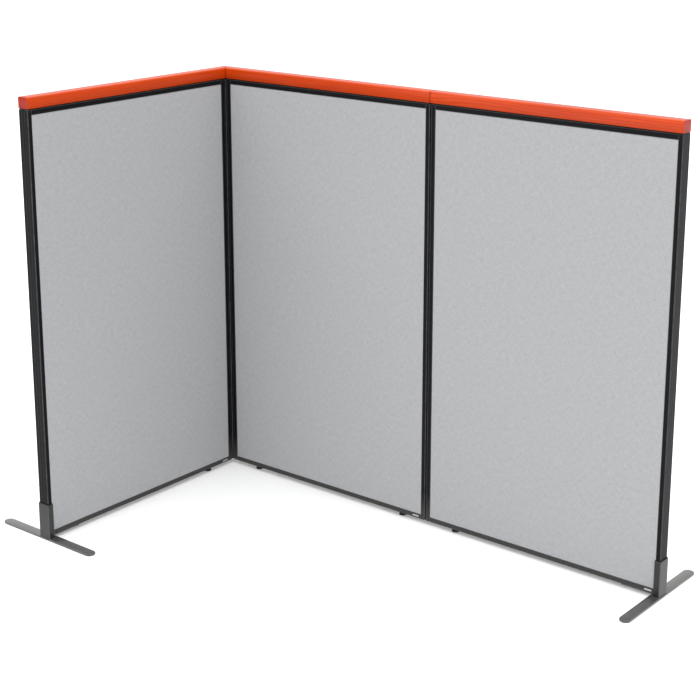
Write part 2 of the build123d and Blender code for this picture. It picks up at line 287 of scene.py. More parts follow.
def blend_colour(tree, kind, share, a, b):
    """Mix of two colours."""
    node = tree.nodes.new("ShaderNodeMix")
    node.data_type = "RGBA"
    node.blend_type = kind
    for socket, value in ((node.inputs[0], share), (node.inputs[6], a), (node.inputs[7], b)):
        if isinstance(value, bpy.types.NodeSocket):
            tree.links.new(value, socket)
        else:
            socket.default_value = value
    return node.outputs[2]


def noise(tree, vector, scale, detail=3.0, roughness=0.5):
    """Noise value about 0.5."""
    node = add(tree, "ShaderNodeTexNoise", {"Vector": vector, "Scale": scale, "Detail": detail,
                                            "Roughness": roughness})
    return node.outputs["Fac"]


def stretched(tree, vector, scale):
    """Vector with each axis scaled."""
    return add(tree, "ShaderNodeMapping", {"Vector": vector, "Scale": scale}).outputs["Vector"]


def new_group(name, inputs, outputs):
    """Shader node group with named sockets; returns the tree and its two ends."""
    tree = bpy.data.node_groups.new(name, "ShaderNodeTree")
    for label, kind in inputs:
        tree.interface.new_socket(label, in_out="INPUT", socket_type=kind)
    for label, kind in outputs:
        tree.interface.new_socket(label, in_out="OUTPUT", socket_type=kind)
    return tree, tree.nodes.new("NodeGroupInput"), tree.nodes.new("NodeGroupOutput")


def use_group(tree, group, inputs):
    """Places a group in a material."""
    node = tree.nodes.new("ShaderNodeGroup")
    node.node_tree = group
    for key, value in inputs.items():
        if isinstance(value, bpy.types.NodeSocket):
            tree.links.new(value, node.inputs[key])
        else:
            node.inputs[key].default_value = value
    return node


def new_material(name, **sockets):
    """Material with a Principled shader whose sockets are set directly."""
    material = bpy.data.materials.new(name)
    material.use_nodes = True
    shader = material.node_tree.nodes["Principled BSDF"]
    for label, value in sockets.items():
        shader.inputs[label.replace("_", " ")].default_value = value
    return material, material.node_tree, shader


print("shader helpers ready")


# %% [markdown]
# ## Two effects that several finishes share
# Powder paint, satin paint and moulded plastic all have a faint orange-peel surface, and all of
# them get lighter grey specks towards the bottom and lighter edges, which are edge wear and also
# a painted highlight along the rounded edges. The orange peel and the lighter edges are node groups,
# built once, and each finish gives them its own values.

# %% Orange peel and edge wear with painted highlight groups
FLOAT, COLOUR, VECTOR = "NodeSocketFloat", "NodeSocketColor", "NodeSocketVector"

orange_peel, ends_in, ends_out = new_group(
    "orange_peel",
    [("Vector", VECTOR), ("Cell Scale", FLOAT), ("Base Roughness", FLOAT), ("Spread", FLOAT)],
    [("Height", FLOAT), ("Roughness", FLOAT)])
cells = noise(orange_peel, ends_in.outputs["Vector"], ends_in.outputs["Cell Scale"], 2.0)
drift = noise(orange_peel, ends_in.outputs["Vector"], 6.0, 3.0)
centred = maths(orange_peel, "SUBTRACT", maths(orange_peel, "ADD", cells, drift), 1.0)
uneven = maths(orange_peel, "MULTIPLY_ADD", centred, ends_in.outputs["Spread"],
               ends_in.outputs["Base Roughness"])
orange_peel.links.new(cells, ends_out.inputs["Height"])
orange_peel.links.new(uneven, ends_out.inputs["Roughness"])

# Edge wear and painted highlight: near a rounded edge the colour is mixed towards a lighter one, which
# stands for scuffed paint and also for the thin light line an edge catches.
edge_highlight_and_wear, ends_in, ends_out = new_group(
    "edge_highlight_and_wear", [("Vector", VECTOR), ("Colour", COLOUR), ("Highlight And Wear Colour", COLOUR), ("Amount", FLOAT)],
    [("Colour", COLOUR), ("Mask", FLOAT)])
near_edge = add(edge_highlight_and_wear, "ShaderNodeAttribute", attribute_name="edge").outputs["Fac"]
patches = noise(edge_highlight_and_wear, ends_in.outputs["Vector"], 45.0, 5.0, 0.65)
share = maths(edge_highlight_and_wear, "MULTIPLY", patches, ends_in.outputs["Amount"])
highlight_and_wear_share = maths(edge_highlight_and_wear, "MULTIPLY", near_edge, share)
highlight_and_wear_mask = maths(edge_highlight_and_wear, "MINIMUM", highlight_and_wear_share, 1.0)
highlight_and_wear_mixed = blend_colour(edge_highlight_and_wear, "MIX", highlight_and_wear_mask, ends_in.outputs["Colour"],
                      ends_in.outputs["Highlight And Wear Colour"])
edge_highlight_and_wear.links.new(highlight_and_wear_mixed, ends_out.inputs["Colour"])
edge_highlight_and_wear.links.new(highlight_and_wear_mask, ends_out.inputs["Mask"])
print("groups", [group.name for group in bpy.data.node_groups])


# %% [markdown]
# ## Painted and moulded finishes
# The frames are aluminium under charcoal powder paint. The foot bars have a smoother charcoal
# paint with a gloss clear coat, and the sleeves above them a duller one. The joint strips and cap
# rails are matt black, and the glide pads are nylon. One function makes all of them from its own
# numbers.

# %% The painted family
def painted(name, colour, highlight_and_wear_colour, amount, rough, spread, cell_scale, bump, low_specks, **sockets):
    """Finish with orange peel, drifting colour, lighter grey specks towards the bottom, and lighter edges
    that are edge wear and a painted highlight.
    """
    material, tree, shader = new_material(name, **sockets)
    spot = add(tree, "ShaderNodeTexCoord").outputs["Object"]
    peel = use_group(tree, orange_peel, {"Vector": spot, "Cell Scale": cell_scale,
                                         "Base Roughness": rough, "Spread": spread})
    darker = tuple(0.90 * part for part in colour)
    lighter = tuple(1.1 * part for part in colour)
    tone = ramp(tree, noise(tree, spot, 3.0, 4.0), [(0.3, darker), (0.7, lighter)])
    height = add(tree, "ShaderNodeSeparateXYZ", {"Vector": spot}).outputs["Z"]
    # Lighter grey specks that fade in over the lowest 0.12 m of every piece.
    low_down = add(tree, "ShaderNodeMapRange", {"Value": height, "From Min": 0.12, "From Max": 0.0,
                                                "To Max": low_specks}).outputs["Result"]
    specks = maths(tree, "MULTIPLY", low_down, noise(tree, spot, 240.0, 4.0, 0.7))
    low_specked = blend_colour(tree, "MIX", specks, tone, (0.42, 0.41, 0.39, 1))
    # Lighter edges: edge wear and a painted highlight along the rounded edges.
    highlight_and_wear_node = use_group(tree, edge_highlight_and_wear, {"Vector": spot, "Colour": low_specked, "Highlight And Wear Colour": (*highlight_and_wear_colour, 1),
                                     "Amount": amount})
    relief = add(tree, "ShaderNodeBump", {"Strength": bump, "Distance": 0.0004,
                                          "Height": peel.outputs["Height"]})
    tree.links.new(highlight_and_wear_node.outputs["Colour"], shader.inputs["Base Color"])
    tree.links.new(peel.outputs["Roughness"], shader.inputs["Roughness"])
    tree.links.new(relief.outputs["Normal"], shader.inputs["Normal"])
    return material


# The second colour of each finish is its lighter edge colour: edge wear and a painted highlight.
frame_paint = painted("charcoal_powder_paint", (0.0050, 0.0052, 0.0060), (0.10, 0.10, 0.107), 0.9,
                      0.42, 0.06, 900.0, 0.25, 0.24, Specular_IOR_Level=0.08)
foot_paint = painted("satin_charcoal_foot_paint", (0.0065, 0.0058, 0.0055), (0.14, 0.135, 0.13), 0.6,
                     0.36, 0.06, 1400.0, 0.12, 0.03, Specular_IOR_Level=0.25,
                     Coat_Weight=1.0, Coat_Roughness=0.12, Coat_IOR=1.65)
sleeve_paint = painted("satin_charcoal_sleeve_paint", (0.0065, 0.0060, 0.0060), (0.14, 0.135, 0.13), 0.6,
                       0.40, 0.06, 1400.0, 0.12, 0.03, Specular_IOR_Level=0.2,
                       Coat_Weight=0.45, Coat_Roughness=0.2, Coat_IOR=1.5)
black_rail = painted("matt_black_rail", (0.006, 0.006, 0.0065), (0.04, 0.04, 0.04), 0.3,
                     0.55, 0.10, 700.0, 0.2, 0.1, Specular_IOR_Level=0.2)
joint_plastic = painted("black_joint_plastic", (0.004, 0.004, 0.0045), (0.02, 0.02, 0.02), 0.3,
                        0.50, 0.12, 500.0, 0.2, 0.1, Specular_IOR_Level=0.2)
glide_nylon = painted("black_glide_nylon", (0.005, 0.005, 0.005), (0.03, 0.03, 0.03), 0.5,
                      0.45, 0.12, 600.0, 0.25, 0.05, Specular_IOR_Level=0.25)
print("painted finishes made")


# %% [markdown]
# ## Bare metal
# Screws and studs are zinc plated, the brackets are plain aluminium, and the small blank plates
# are satin aluminium with a dark rim. Fine brushed lines are noise stretched along one axis.

# %% Metals
def bare_metal(name, colour, rough, stretch):
    """Metal with fine lines: noise squeezed hard across one axis drives roughness and tone."""
    material, tree, shader = new_material(name, Metallic=1.0)
    spot = add(tree, "ShaderNodeTexCoord").outputs["Object"]
    lines = noise(tree, stretched(tree, spot, stretch), 1.0, 4.0, 0.6)
    tone = ramp(tree, lines, [(0.3, tuple(0.8 * part for part in colour)), (0.7, colour)])
    spread = add(tree, "ShaderNodeMapRange", {"Value": lines, "To Min": rough - 0.07,
                                              "To Max": rough + 0.09}).outputs["Result"]
    tree.links.new(tone, shader.inputs["Base Color"])
    tree.links.new(spread, shader.inputs["Roughness"])
    return material


zinc = bare_metal("zinc_plate", (0.58, 0.59, 0.60), 0.32, (400, 400, 900))
bracket_metal = bare_metal("mill_aluminium", (0.70, 0.71, 0.72), 0.38, (60, 60, 1500))

plate_metal, tree, shader = new_material("satin_plate_with_dark_rim", Specular_IOR_Level=0.5)
spot = add(tree, "ShaderNodeTexCoord").outputs["Object"]
fine_lines = noise(tree, stretched(tree, spot, (300, 300, 4000)), 1.0, 4.0)
satin = ramp(tree, fine_lines, [(0.3, (0.40, 0.41, 0.42)), (0.7, (0.52, 0.53, 0.54))])
rim = add(tree, "ShaderNodeAttribute", attribute_name="rim").outputs["Fac"]
rimmed = blend_colour(tree, "MIX", rim, satin, (0.02, 0.02, 0.022, 1))
tree.links.new(rimmed, shader.inputs["Base Color"])
tree.links.new(maths(tree, "MULTIPLY_ADD", fine_lines, 0.2, 0.28), shader.inputs["Roughness"])
tree.links.new(maths(tree, "MULTIPLY_ADD", rim, -0.85, 0.85), shader.inputs["Metallic"])
print("metals made")


# %% [markdown]
# ## Cherry-stained wood
# Solid wood is a stack of growth rings, so the colour comes from how far a point is from the
# tree's middle, and a cap cut from the board shows long grain on its sides and rings on its ends.
# Each cap carries a `grain` vector: along, across and up inside its own board. Fine fibres and
# short dark pores are noise stretched along the board. A clear lacquer lies on top as a coat.

# %% Wood finish
RING_PITCH = 5.0 * MM
wood, tree, shader = new_material("cherry_stained_wood", Coat_Roughness=0.18,
                                  Specular_IOR_Level=0.14)
board_spot = add(tree, "ShaderNodeAttribute", attribute_name="grain").outputs["Vector"]
wander = noise(tree, stretched(tree, board_spot, (1.6, 14.0, 14.0)), 1.0, 3.0)
parts = add(tree, "ShaderNodeSeparateXYZ", {"Vector": board_spot})
across = maths(tree, "MULTIPLY_ADD", wander, 0.022, parts.outputs["Y"])
upward = maths(tree, "MULTIPLY_ADD", wander, 0.012, parts.outputs["Z"])
squares = maths(tree, "MULTIPLY_ADD", across, across, maths(tree, "MULTIPLY", upward, upward))
from_pith = maths(tree, "SQRT", squares)
ring_share = maths(tree, "FRACT", maths(tree, "DIVIDE", from_pith, RING_PITCH))
ring_colour = ramp(tree, ring_share, [(0.0, (0.61, 0.058, 0.0016)), (0.55, (0.57, 0.049, 0.0013)),
                                      (0.90, (0.48, 0.034, 0.0009)), (1.0, (0.60, 0.056, 0.0015))])
fibres = noise(tree, stretched(tree, board_spot, (7.0, 420.0, 420.0)), 1.0, 5.0, 0.65)
fibre_tone = ramp(tree, fibres, [(0.28, (0.78, 0.70, 0.66)), (0.72, (1.10, 1.12, 1.12))])
pores = noise(tree, stretched(tree, board_spot, (55.0, 1500.0, 1500.0)), 1.0, 2.0)
pore_range = add(tree, "ShaderNodeMapRange", {"Value": pores, "From Min": 0.66, "From Max": 0.74})
pore_mask = pore_range.outputs["Result"]
clouds = noise(tree, stretched(tree, board_spot, (2.2, 22.0, 22.0)), 1.0, 3.0)
cloud_tone = ramp(tree, clouds, [(0.3, (0.86, 0.78, 0.74)), (0.7, (1.08, 1.16, 1.22))])
stained = blend_colour(tree, "MULTIPLY", 0.75, ring_colour, fibre_tone)
clouded = blend_colour(tree, "MULTIPLY", 0.8, stained, cloud_tone)
pored = blend_colour(tree, "MIX", maths(tree, "MULTIPLY", pore_mask, 0.55), clouded,
                     (0.13, 0.012, 0.003, 1))
end_cut = add(tree, "ShaderNodeAttribute", attribute_name="endgrain").outputs["Fac"]
end_stain = blend_colour(tree, "MULTIPLY", end_cut, pored, (0.62, 0.30, 0.45, 1))
# The caps' lighter edge colour is edge wear and a painted highlight along their rounded edges.
highlight_and_wear_node = use_group(tree, edge_highlight_and_wear, {"Vector": board_spot, "Colour": end_stain,
                                 "Highlight And Wear Colour": (0.80, 0.16, 0.045, 1), "Amount": 0.25})
lacquer = maths(tree, "MULTIPLY_ADD", end_cut, -0.2, 0.22)
tree.links.new(lacquer, shader.inputs["Coat Weight"])
wood_relief = add(tree, "ShaderNodeBump", {"Strength": 0.18, "Distance": 0.0003, "Height": fibres})
tree.links.new(highlight_and_wear_node.outputs["Colour"], shader.inputs["Base Color"])
tree.links.new(maths(tree, "MULTIPLY_ADD", fibres, 0.16, 0.30), shader.inputs["Roughness"])
tree.links.new(wood_relief.outputs["Normal"], shader.inputs["Normal"])
print("wood finish made, rings every", RING_PITCH / MM, "mm")


# %% [markdown]
# ## Woven panel cloth
# Panel cloth is a plain weave of slightly uneven, two-tone yarns. The piece's own UV map holds
# metres along the cut cloth, so the yarns run straight over the face and turn with the edge. Each
# yarn is a half wave, and a checkerboard says which of the two sets lies on top. Slubs and mottle
# are noise drawn out along each set of yarns.

# %% Cloth finish
YARN_PITCH = 1.3 * MM
cloth, tree, shader = new_material("grey_woven_panel_cloth", Roughness=0.92, Sheen_Weight=0.18,
                                   Sheen_Roughness=0.5, Specular_IOR_Level=0.15)
cut = add(tree, "ShaderNodeUVMap", uv_map="cut").outputs["UV"]
yarn_count = stretched(tree, cut, (1 / YARN_PITCH, 1 / YARN_PITCH, 1))
yarns = add(tree, "ShaderNodeSeparateXYZ", {"Vector": yarn_count})
yarn_u, yarn_v = yarns.outputs["X"], yarns.outputs["Y"]
wave_u = maths(tree, "ABSOLUTE", maths(tree, "SINE", maths(tree, "MULTIPLY", yarn_u, math.pi)))
wave_v = maths(tree, "ABSOLUTE", maths(tree, "SINE", maths(tree, "MULTIPLY", yarn_v, math.pi)))
cell_sum = maths(tree, "ADD", maths(tree, "FLOOR", yarn_u), maths(tree, "FLOOR", yarn_v))
on_top = maths(tree, "FLOORED_MODULO", cell_sum, 2.0)
warp_high = maths(tree, "MULTIPLY", maths(tree, "MULTIPLY_ADD", on_top, 0.5, 0.5), wave_u)
weft_high = maths(tree, "MULTIPLY", maths(tree, "MULTIPLY_ADD", on_top, -0.5, 1.0), wave_v)
weave_height = maths(tree, "MAXIMUM", warp_high, weft_high)
warp_slub = noise(tree, stretched(tree, cut, (900.0, 55.0, 1.0)), 1.0, 3.0, 0.6)
weft_slub = noise(tree, stretched(tree, cut, (55.0, 900.0, 1.0)), 1.0, 3.0, 0.6)
slub = maths(tree, "ADD", maths(tree, "MULTIPLY", warp_slub, on_top),
             maths(tree, "MULTIPLY", weft_slub, maths(tree, "SUBTRACT", 1.0, on_top)))
yarn_colour = ramp(tree, slub, [(0.30, (0.274, 0.281, 0.291)), (0.50, (0.351, 0.358, 0.369)),
                                (0.72, (0.434, 0.440, 0.450))])
mottle = noise(tree, cut, 70.0, 5.0, 0.7)
mottle_tone = ramp(tree, mottle, [(0.32, (0.955, 0.955, 0.958)), (0.68, (1.035, 1.035, 1.032))])
mottled = blend_colour(tree, "MULTIPLY", 1.0, yarn_colour, mottle_tone)
# Painted shade: the low parts of the weave, between the yarns, are darkened.
shade = ramp(tree, weave_height, [(0.0, (0.62, 0.62, 0.62)), (0.6, (1.0, 1.0, 1.0))])
shaded = blend_colour(tree, "MULTIPLY", 0.8, mottled, shade)
cloth_relief = add(tree, "ShaderNodeBump", {"Strength": 0.35, "Distance": 0.0003, "Height": weave_height})
tree.links.new(shaded, shader.inputs["Base Color"])
tree.links.new(cloth_relief.outputs["Normal"], shader.inputs["Normal"])

board_felt, tree, shader = new_material("pressed_glass_fibre_board", Roughness=0.95)
spot = add(tree, "ShaderNodeTexCoord").outputs["Object"]
felt = noise(tree, spot, 260.0, 6.0, 0.75)
felt_colour = ramp(tree, felt, [(0.3, (0.36, 0.29, 0.14)), (0.7, (0.62, 0.54, 0.34))])
tree.links.new(felt_colour, shader.inputs["Base Color"])
print("cloth finish made, yarns every", YARN_PITCH / MM, "mm")


# %% [markdown]
# ## The stretched cloths
# Each cloth is one rectangle, pulled flat over a board and turned in round its four edges. Along
# each direction the cut runs flat, round a small edge radius and then straight back, so a point's
# place follows from its two distances along the cut. The four squares where both directions are
# turned in are cut away, as an upholsterer does, and the flaps meet there. A very shallow swell
# and faint pulls along the edges keep the face from being a perfect plane.

# %% Cloth sheets
TURN_RADIUS = 1.8 * MM
FLAP = 7.5 * MM
CLOTH_BODY = 0.9 * MM
random_swell = np.random.default_rng(7)


def along_cut(half_width, count):
    """Distances along the cut from its middle, and for each its sideways place, its depth and
    whether it lies in the turned-in flap."""
    flat_half = half_width - TURN_RADIUS
    arc_length = TURN_RADIUS * np.pi / 2
    flat = np.linspace(0, flat_half, count)
    flat = np.concatenate([flat[:-1], flat_half - np.array([6, 3, 1]) * MM, [flat_half]])
    arc = flat_half + np.linspace(0, arc_length, 6)[1:]
    flap = flat_half + arc_length + np.linspace(0, FLAP, 4)[1:]
    distance = np.unique(np.round(np.concatenate([flat, arc, flap]), 7))
    turn = np.clip((distance - flat_half) / TURN_RADIUS, 0, np.pi / 2)
    past = np.clip(distance - flat_half - arc_length, 0, None)
    place = np.minimum(distance, flat_half) + TURN_RADIUS * np.sin(turn)
    depth = TURN_RADIUS * (1 - np.cos(turn)) + past
    mirrored = [np.concatenate([sign * values[:0:-1], values]) for sign, values in
                ((-1, distance), (-1, place), (1, depth))]
    turned_in = np.concatenate([past[:0:-1], past]) > MERGE_WITHIN
    return (*mirrored, turned_in)


def swell(u, v, half_u, half_v, phase):
    """Depth of the face, in metres: a low dome, two slow waves and faint pulls near the edges."""
    inside = (1 - (u / half_u) ** 2).clip(0) * (1 - (v / half_v) ** 2).clip(0)
    slow = np.sin(5.1 * u + phase[0]) * np.cos(3.3 * v + phase[1])
    near_side = np.exp(-(half_u - np.abs(u)).clip(0) / 0.03)
    near_end = np.exp(-(half_v - np.abs(v)).clip(0) / 0.03)
    pulls = near_side * np.sin(62 * v + phase[2]) + near_end * np.sin(62 * u + phase[3])
    fade = np.minimum(inside * 12, 1)
    return (0.35 * inside + 0.16 * slow * inside + 0.10 * pulls * fade) * MM


def stretched_cloth(node, board):
    """Sheet that stands for a CAD cloth node and lies on its board."""
    low, high = box_of(node)
    board_low, board_high = box_of(board)
    wide = 0 if high[0] - low[0] > high[1] - low[1] else 1
    deep = 1 - wide
    outward = 1.0 if low[deep] + high[deep] > board_low[deep] + board_high[deep] else -1.0
    face = high[deep] if outward > 0 else low[deep]
    half_u, half_v = (high[wide] - low[wide]) / 2, (high[2] - low[2]) / 2
    u, place_u, depth_u, turned_u = along_cut(half_u, 60)
    v, place_v, depth_v, turned_v = along_cut(half_v, 98)
    points = np.zeros((len(v), len(u), 3))
    phase = random_swell.uniform(0, 6.28, 4)
    raised = swell(place_u[None, :], place_v[:, None], half_u, half_v, phase)
    points[..., wide] = (low[wide] + high[wide]) / 2 + place_u[None, :]
    points[..., 2] = (low[2] + high[2]) / 2 + place_v[:, None]
    drop = depth_u[None, :] + depth_v[:, None] - raised
    points[..., deep] = face - outward * drop
    quads = grid_quads(len(v), len(u))
    corner = (turned_u[None, :] & turned_v[:, None]).ravel()
    quads = quads[~corner[quads].any(axis=1)]
    used = np.unique(quads)
    renumber = np.full(len(corner), -1)
    renumber[used] = np.arange(len(used))
    uv = np.stack(np.meshgrid(u, v), axis=-1).reshape(-1, 2)[used]
    sheet = make_piece(node + "_woven", points.reshape(-1, 3)[used], renumber[quads], cloth,
                       uv=uv, close=False)
    flip_if_inward(sheet, deep, outward)
    body = sheet.modifiers.new("cloth body", "SOLIDIFY")
    body.thickness = CLOTH_BODY
    body.offset = -1
    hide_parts(node)
    flat = (float(2 * u.max()), float(2 * v.max()))
    return flat


def flip_if_inward(sheet, deep, outward):
    """Turns the faces over if the middle of the sheet looks into the panel."""
    mesh = sheet.data
    normals = np.empty(len(mesh.polygons) * 3)
    mesh.polygons.foreach_get("normal", normals)
    if np.sum(normals.reshape(-1, 3)[:, deep]) * outward < 0:
        mesh.flip_normals()


for panel in PANELS:
    for side in ("front", "back"):
        flat_size = stretched_cloth(f"{panel}_{side}_cloth", f"{panel}_{side}_board")
print("six cloths, each cut", [round(size, 4) for size in flat_size], "m")


# %% [markdown]
# ## Stiles, rails and the corner post
# The uprights are aluminium extrusions: a rounded outer edge, a slot down the outer side for a
# joint strip, and a small radius where the metal meets the cloth. The rails are plain box
# sections. Each is its outline carried along its length, and the saw cut at each end is eased.

# %% Frame members
SLOT_LIP_ROUND = 0.4 * MM
SLOT_FLOOR_ROUND = 0.3 * MM
STILE_END_ROUND = 0.4 * MM
RAIL_END_ROUND = 0.2 * MM


def oriented(low, high, opens_to):
    """Corners and radii of a slotted section between two plan corners, whose slot opens towards
    the side named by opens_to: an axis number and a sign."""
    axis, sign = opens_to
    across = 1 - axis
    outer = high[axis] if sign > 0 else low[axis]
    inner = low[axis] if sign > 0 else high[axis]
    middle = (low[across] + high[across]) / 2
    floor_of_slot = outer - sign * SLOT_DEPTH
    pairs = [(inner, low[across]), (outer, low[across]), (outer, middle - SLOT_WIDTH / 2),
             (floor_of_slot, middle - SLOT_WIDTH / 2), (floor_of_slot, middle + SLOT_WIDTH / 2),
             (outer, middle + SLOT_WIDTH / 2), (outer, high[across]), (inner, high[across])]
    corners = [(a, b) if axis == 0 else (b, a) for a, b in pairs]
    radii = [SMALL_ROUND, STILE_ROUND, SLOT_LIP_ROUND, SLOT_FLOOR_ROUND]
    return corners, radii + radii[::-1]


def stile_piece(node, panel, low_end):
    """Slotted stile; low_end is True at the end with the lower coordinate."""
    low, high = box_of(node)
    run = 1 if panel == "return_panel" else 0
    if low_end:
        high[run] = low[run] + FRAME_FACE
    else:
        low[run] = high[run] - FRAME_FACE
    corners, radii = oriented(low, high, (run, -1 if low_end else 1))
    rings = soft_ends(low[2], high[2], STILE_END_ROUND, STILE_END_ROUND)
    piece = prism(node + "_painted", outline_of(corners, radii), rings, "Z", frame_paint)
    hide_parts(node)


def rail_piece(node, panel, is_top):
    """Box section rail between the two stiles."""
    low, high = box_of(node)
    if is_top:
        low[2] = high[2] - FRAME_FACE
    else:
        high[2] = low[2] + FRAME_FACE
    if panel == "return_panel":
        pairs = [(low[2], low[0]), (low[2], high[0]), (high[2], high[0]), (high[2], low[0])]
        axis, start, stop = "Y", low[1], high[1]
    else:
        pairs = [(low[1], low[2]), (high[1], low[2]), (high[1], high[2]), (low[1], high[2])]
        axis, start, stop = "X", low[0], high[0]
    rings = soft_ends(start, stop, RAIL_END_ROUND, RAIL_END_ROUND)
    piece = prism(node + "_painted", outline_of(pairs, [SMALL_ROUND] * 4), rings, axis, frame_paint)
    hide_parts(node)


for panel in PANELS:
    stile_piece(f"{panel}_left_stile", panel, True)
    stile_piece(f"{panel}_right_stile", panel, False)
    rail_piece(f"{panel}_bottom_rail", panel, False)
    rail_piece(f"{panel}_top_rail", panel, True)

post_corners = [(post_low[0], post_low[1]), (post_high[0], post_low[1]),
                (post_high[0], post_high[1]), (post_low[0], post_high[1])]
post_rings = soft_ends(FRAME_LOW, FRAME_HIGH, STILE_END_ROUND, STILE_END_ROUND)
post_outline = outline_of(post_corners, [STILE_ROUND] * 4)
post = prism("corner_post_painted", post_outline, post_rings, "Z", frame_paint)
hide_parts("corner_post")


# %% [markdown]
# ## The wood caps
# A cap is a straight board whose two long top edges are rounded over with a router, and whose ends
# are only eased. Its top is a height for every point of a grid: the full height, less how much the
# nearest rounding has dropped there. Past the roundings the grid goes straight down to make the
# sides. End grain drinks more stain than the long sides do, so the ends are darker and redder.

# %% Cap boards
CAP_SPACING = 30.0 * MM
GRAIN_SHIFT = 3.7


def eased(low, high, low_round, high_round):
    """Places across a board and how far the surface has dropped at each: radius times one minus
    the sine of the angle round each rounding."""
    turn = np.linspace(0, np.pi / 2, 8)
    start = low + low_round * (1 - np.cos(turn))
    stop = high - high_round * (1 - np.cos(turn[::-1]))
    middle_count = max(2, int((stop[0] - start[-1]) / CAP_SPACING))
    shoulder = np.array([start[-1] + SHOULDER, stop[0] - SHOULDER])
    middle = np.linspace(shoulder[0], shoulder[1], middle_count)
    places = np.concatenate([start, middle, stop])
    drops = np.concatenate([low_round * (1 - np.sin(turn)), np.zeros(middle_count),
                            high_round * (1 - np.sin(turn[::-1]))])
    return places, drops


def with_walls(places, drops, full):
    """Adds a side wall at both ends: one ring just under the rounding and one at the full depth.
    Also returns the edge value of every ring, which is one only on the roundings."""
    edge = (drops > 0).astype(float)
    places = np.concatenate([places[[0, 0]], places, places[[-1, -1]]])
    drops = np.concatenate([[full, drops[0] + SHOULDER], drops, [drops[-1] + SHOULDER, full]])
    return places, drops, np.concatenate([[0, 0], edge, [0, 0]])


def cap_piece(node, rounds, along, pith):
    """Cap board; rounds are the radii at low X, high X, low Y and high Y, along is the grain's
    axis, and pith is where the tree's middle lies from the board's middle, across and up."""
    low, high = box_of(node)
    full = high[2] - low[2]
    x, drop_x, edge_x = with_walls(*eased(low[0], high[0], rounds[0], rounds[1]), full)
    y, drop_y, edge_y = with_walls(*eased(low[1], high[1], rounds[2], rounds[3]), full)
    height = high[2] - np.maximum(drop_x[None, :], drop_y[:, None])
    flat_x, flat_y = np.meshgrid(x, y)
    top = np.stack([flat_x, flat_y, height], axis=-1).reshape(-1, 3)
    quads = grid_quads(len(y), len(x))
    edge = np.maximum(edge_x[None, :], edge_y[:, None]).ravel().astype(np.float32)
    at_end = (drop_x > 0)[None, :] if along == 0 else (drop_y > 0)[:, None]
    endgrain = np.broadcast_to(at_end, height.shape).ravel().astype(np.float32)
    middle = (low + high) / 2
    local = top - middle
    grain = np.stack([local[:, along], local[:, 1 - along] - pith[0], local[:, 2] - pith[1]], axis=1)
    grain[:, 0] += GRAIN_SHIFT * (low[0] - low[1])
    piece = make_piece(node + "_lacquered", top, quads, wood,
                       extra={"edge": edge, "endgrain": endgrain, "grain": grain.astype(np.float32)})
    fill_underside(piece)
    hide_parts(node)


def fill_underside(piece):
    """Closes the open underside with one face."""
    work = bmesh.new()
    work.from_mesh(piece.data)
    bmesh.ops.holes_fill(work, edges=work.edges, sides=0)
    bmesh.ops.recalc_face_normals(work, faces=work.faces)
    work.to_mesh(piece.data)
    work.free()


END_EASE = 1.5 * MM
FITTED_END = 0.5 * MM
cap_piece("return_panel_wood_cap", (CAP_ROUND, CAP_ROUND, END_EASE, FITTED_END), 1, (0.060, -0.035))
cap_piece("middle_panel_wood_cap", (FITTED_END, END_EASE, CAP_ROUND, CAP_ROUND), 0, (-0.048, 0.055))
cap_piece("end_panel_wood_cap", (END_EASE, END_EASE, CAP_ROUND, CAP_ROUND), 0, (0.052, 0.040))
cap_piece("corner_cap", (CAP_ROUND, FITTED_END, FITTED_END, CAP_ROUND), 0, (-0.048, 0.055))
print("cap boards made, top at", round(float(box_of("corner_cap")[1][2]), 4), "m")


# %% [markdown]
# ## The two feet
# A foot is a flat steel bar with round ends, lying across the panel. A folded sleeve stands on it
# and holds the panel's end, with a run of weld where they meet. On top sits a black lip that is a
# painted shadow: it stands in for the dark shade line along the sleeve's top. The bar is a long
# outline with full radii, carried up its thickness. The sleeve, the shadow lip and the weld are one
# U-shaped outline, wider or narrower, carried upwards.

# %% Foot bars, sleeves and welds
SLEEVE_WALL = 3.0 * MM
WELD_SIZE = 1.6 * MM
# Height and inset of the black lip that is a painted shadow at the sleeve's top.
SHADOW_LIP_STANDS = 3.0 * MM
SHADOW_LIP_INSET = 1.0 * MM


def foot_bar_piece(prefix, axis):
    """Flat bar with round ends and a softened top edge; axis is the direction it lies in."""
    low, high = box_of(prefix + "_bar")
    rings = soft_ends(low[2], high[2], 0.6 * MM, 1.6 * MM)
    bar = prism(prefix + "_bar_painted", stadium(low, high, axis), rings, "Z", foot_paint)
    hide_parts(prefix + "_bar")


def sleeve_piece(prefix, run):
    """Folded sleeve; run is the axis of the panel that it holds."""
    low, high = box_of(prefix + "_sleeve")
    outline = sleeve_outline(prefix, run, 0.0)
    rings = soft_ends(low[2], high[2], 0.3 * MM, 0.9 * MM)
    sleeve = prism(prefix + "_sleeve_painted", outline, rings, "Z", sleeve_paint)
    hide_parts(prefix + "_sleeve")


def shadow_lip_piece(prefix, run):
    """Painted shadow: a black lip that shows above the sleeve, inside its outer face, standing in for the
    dark shade line at the sleeve's top.
    """
    top = box_of(prefix + "_sleeve")[1][2]
    rings = soft_ends(top - 0.5 * MM, top + SHADOW_LIP_STANDS, 0.1 * MM, 0.6 * MM)
    outline = sleeve_outline(prefix, run, -SHADOW_LIP_INSET)
    shadow_lip = prism(prefix + "_liner", outline, rings, "Z", joint_plastic)


